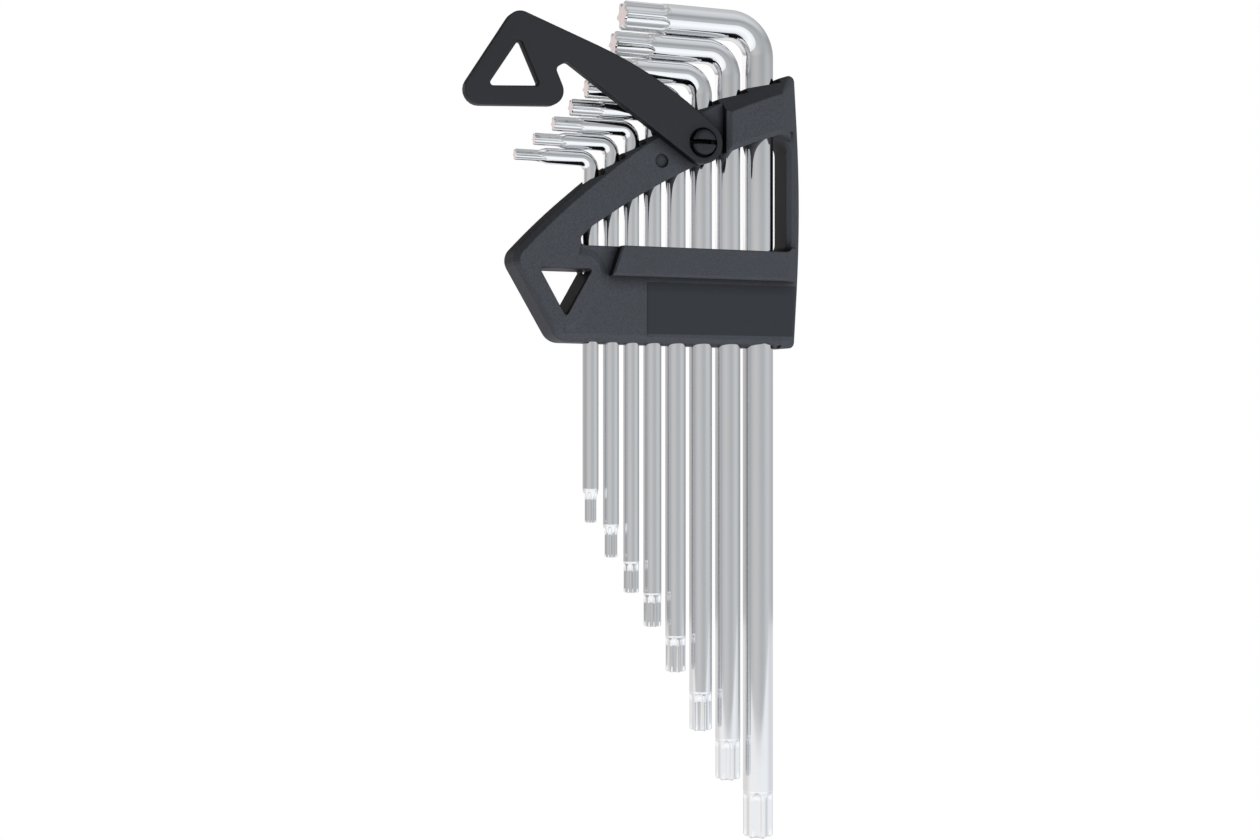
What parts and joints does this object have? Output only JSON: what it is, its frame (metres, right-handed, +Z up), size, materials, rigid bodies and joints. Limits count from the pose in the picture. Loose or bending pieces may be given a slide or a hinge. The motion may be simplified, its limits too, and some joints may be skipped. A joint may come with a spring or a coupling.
{
  "type": "hand_tool",
  "caption": "Set of star L-keys in a flat plastic holder with a swinging hang lever",
  "frame": {"origin": "middle of the holder's three-cornered hang eye, on the plane of the key axes", "axes": "X along the holder from its left tip, Y from its front to its back, Z up along the long arms"},
  "size_m": [0.0787, 0.0124, 0.1841],
  "materials": {
    "holder_plastic": "fine-grained moulding",
    "lever_plastic": "smooth satin moulding",
    "polished_chrome": "polished plating"
  },
  "bodies": {
    "holder": {"holder": "holder_plastic"},
    "lever": {"lever": "lever_plastic"},
    "key_9": {"key_9": "polished_chrome"},
    "key_10": {"key_10": "polished_chrome"},
    "key_15": {"key_15": "polished_chrome"},
    "key_20": {"key_20": "polished_chrome"},
    "key_25": {"key_25": "polished_chrome"},
    "key_27": {"key_27": "polished_chrome"},
    "key_30": {"key_30": "polished_chrome"},
    "key_40": {"key_40": "polished_chrome"}
  },
  "joints": [
    {"name": "lever_swing", "type": "hinge", "parent": "holder", "child": "lever", "pos_m": [0.03073, -0.0055, 0.03139], "axis": [0, -1, 0], "range_deg": [-56, 62]},
    {"name": "key_9_swivel", "type": "hinge", "parent": "holder", "child": "key_9", "pos_m": [0.00708, 0, 0.0275], "axis": [0, 0, -1], "range_deg": [0, 90]},
    {"name": "key_10_swivel", "type": "hinge", "parent": "holder", "child": "key_10", "pos_m": [0.0118, 0, 0.031], "axis": [0, 0, -1], "range_deg": [0, 90]},
    {"name": "key_15_swivel", "type": "hinge", "parent": "holder", "child": "key_15", "pos_m": [0.01652, 0, 0.0345], "axis": [0, 0, -1], "range_deg": [0, 90]},
    {"name": "key_20_swivel", "type": "hinge", "parent": "holder", "child": "key_20", "pos_m": [0.02149, 0, 0.03825], "axis": [0, 0, -1], "range_deg": [0, 90]},
    {"name": "key_25_swivel", "type": "hinge", "parent": "holder", "child": "key_25", "pos_m": [0.02698, 0, 0.04253], "axis": [0, 0, -1], "range_deg": [0, 90]},
    {"name": "key_27_swivel", "type": "hinge", "parent": "holder", "child": "key_27", "pos_m": [0.03303, 0, 0.04735], "axis": [0, 0, -1], "range_deg": [0, 90]},
    {"name": "key_30_swivel", "type": "hinge", "parent": "holder", "child": "key_30", "pos_m": [0.03963, 0, 0.05273], "axis": [0, 0, -1], "range_deg": [0, 90]},
    {"name": "key_40_swivel", "type": "hinge", "parent": "holder", "child": "key_40", "pos_m": [0.04707, 0, 0.05895], "axis": [0, 0, -1], "range_deg": [0, 90]}
  ]
}
